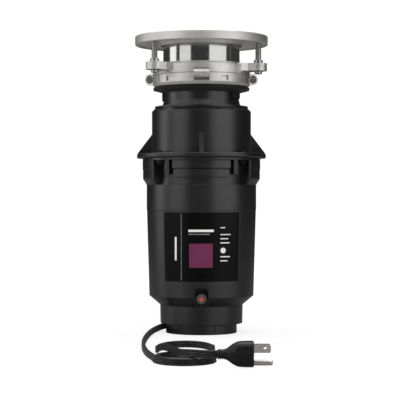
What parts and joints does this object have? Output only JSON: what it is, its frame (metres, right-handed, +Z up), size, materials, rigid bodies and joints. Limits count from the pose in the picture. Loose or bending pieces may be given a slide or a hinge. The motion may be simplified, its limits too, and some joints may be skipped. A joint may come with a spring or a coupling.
{
  "type": "kitchen garbage disposal",
  "caption": "Under-sink food waste disposer with a bolted sink mount, a grinding chamber, a motor in a tapered casing, a reset button and a power cord.",
  "frame": {"origin": "centre of the flat underside of the base", "axes": "+Z up along the motor shaft, -Y towards the front with the reset button and label, +X to the right"},
  "size_m": [0.1392, 0.4044, 0.3096],
  "materials": {
    "nickel_ring": "satin nickel plate",
    "polished_sleeve": "polished stainless steel",
    "mount_steel": "zinc-plated pressed steel",
    "screw_steel": "zinc-plated steel",
    "black_screw": "blackened steel",
    "housing_plastic": "satin charcoal moulding",
    "shell_plastic": "satin charcoal moulding",
    "black_rubber": "moulded rubber",
    "fibre": "pressed fibre",
    "stainless": "stainless steel",
    "cast_aluminium": "die cast",
    "shaft_steel": "ground steel",
    "laminations": "silicon steel stack",
    "copper_wire": "enamelled copper",
    "bronze": "sintered bronze",
    "magnet": "ferrite",
    "can_steel": "drawn steel",
    "carbon": "carbon graphite",
    "board": "glass-filled board",
    "button_grey": "satin grey moulding",
    "button_red": "red inlay",
    "bezel_black": "black moulding",
    "label": "printed film",
    "cord_rubber": "ribbed flexible cord",
    "plug_plastic": "moulded plug",
    "blade_metal": "nickel-plated brass"
  },
  "bodies": {
    "unit": {"sink_flange": "polished_sleeve", "fibre_gasket": "fibre", "backup_ring": "nickel_ring", "upper_mounting_ring": "mount_steel", "snap_ring": "screw_steel", "clinch_nuts": "screw_steel", "mounting_gasket": "black_rubber", "splash_guard": "black_rubber", "throat_collar": "housing_plastic", "grind_housing": "housing_plastic", "drain_spout": "housing_plastic", "shredder_ring": "stainless", "chamber_floor": "cast_aluminium", "shaft_seal": "black_rubber", "flange_screws": "black_screw", "flange_nuts": "black_screw", "upper_bearing": "bronze", "lower_bearing": "bronze", "motor_can": "can_steel", "field_magnets": "magnet", "lower_end_bell": "cast_aluminium", "brush_holders": "bezel_black", "brushes": "carbon", "brush_springs": "shaft_steel", "rectifier_board": "board", "reset_bezel": "bezel_black", "overload_switch": "bezel_black", "motor_housing": "housing_plastic", "lower_shell": "shell_plastic", "label_plate": "label", "base_cap": "shell_plastic", "base_screws": "screw_steel", "cord_gland": "shell_plastic", "cord_strain_relief": "cord_rubber", "cord_lead": "cord_rubber", "cord_coil": "cord_rubber", "cord_tail": "cord_rubber", "plug_body": "plug_plastic", "plug_blades": "blade_metal", "plug_ground_pin": "blade_metal"},
    "rotor": {"turntable": "stainless", "turntable_nut": "stainless", "impeller_rivets": "stainless", "motor_shaft": "shaft_steel", "armature_core": "laminations", "armature_winding": "copper_wire", "commutator": "copper_wire"},
    "impeller_left": {"impeller_left": "stainless"},
    "impeller_right": {"impeller_right": "stainless"},
    "reset_button": {"reset_button": "button_grey", "reset_diamond": "button_red"},
    "lock_ring": {"lower_mounting_ring": "mount_steel"},
    "screw_left": {"mounting_screw_left": "screw_steel"},
    "screw_right": {"mounting_screw_right": "screw_steel"},
    "screw_rear": {"mounting_screw_rear": "screw_steel"}
  },
  "joints": [
    {"name": "rotor_spin", "type": "hinge", "parent": "unit", "child": "rotor", "pos_m": [0, 0, 0.15], "axis": [0, 0, 1], "continuous": true},
    {"name": "impeller_left_swing", "type": "hinge", "parent": "rotor", "child": "impeller_left", "pos_m": [-0.027, 0, 0.2195], "axis": [0, 0, 1], "continuous": true},
    {"name": "impeller_right_swing", "type": "hinge", "parent": "rotor", "child": "impeller_right", "pos_m": [0.027, 0, 0.2195], "axis": [0, 0, 1], "continuous": true},
    {"name": "reset_press", "type": "slide", "parent": "unit", "child": "reset_button", "axis": [0, 1, 0], "range_m": [0, 0.002], "stiffness_N_per_m": 800, "springref_m": -0.001},
    {"name": "lock_ring_turn", "type": "hinge", "parent": "unit", "child": "lock_ring", "pos_m": [0, 0, 0.262], "axis": [0, 0, 1], "range_deg": [0, 35]},
    {"name": "screw_left_travel", "type": "slide", "parent": "unit", "child": "screw_left", "axis": [0, 0, -1], "range_m": [0, 0.012]},
    {"name": "screw_right_travel", "type": "slide", "parent": "unit", "child": "screw_right", "axis": [0, 0, -1], "range_m": [0, 0.012]},
    {"name": "screw_rear_travel", "type": "slide", "parent": "unit", "child": "screw_rear", "axis": [0, 0, -1], "range_m": [0, 0.012]}
  ]
}
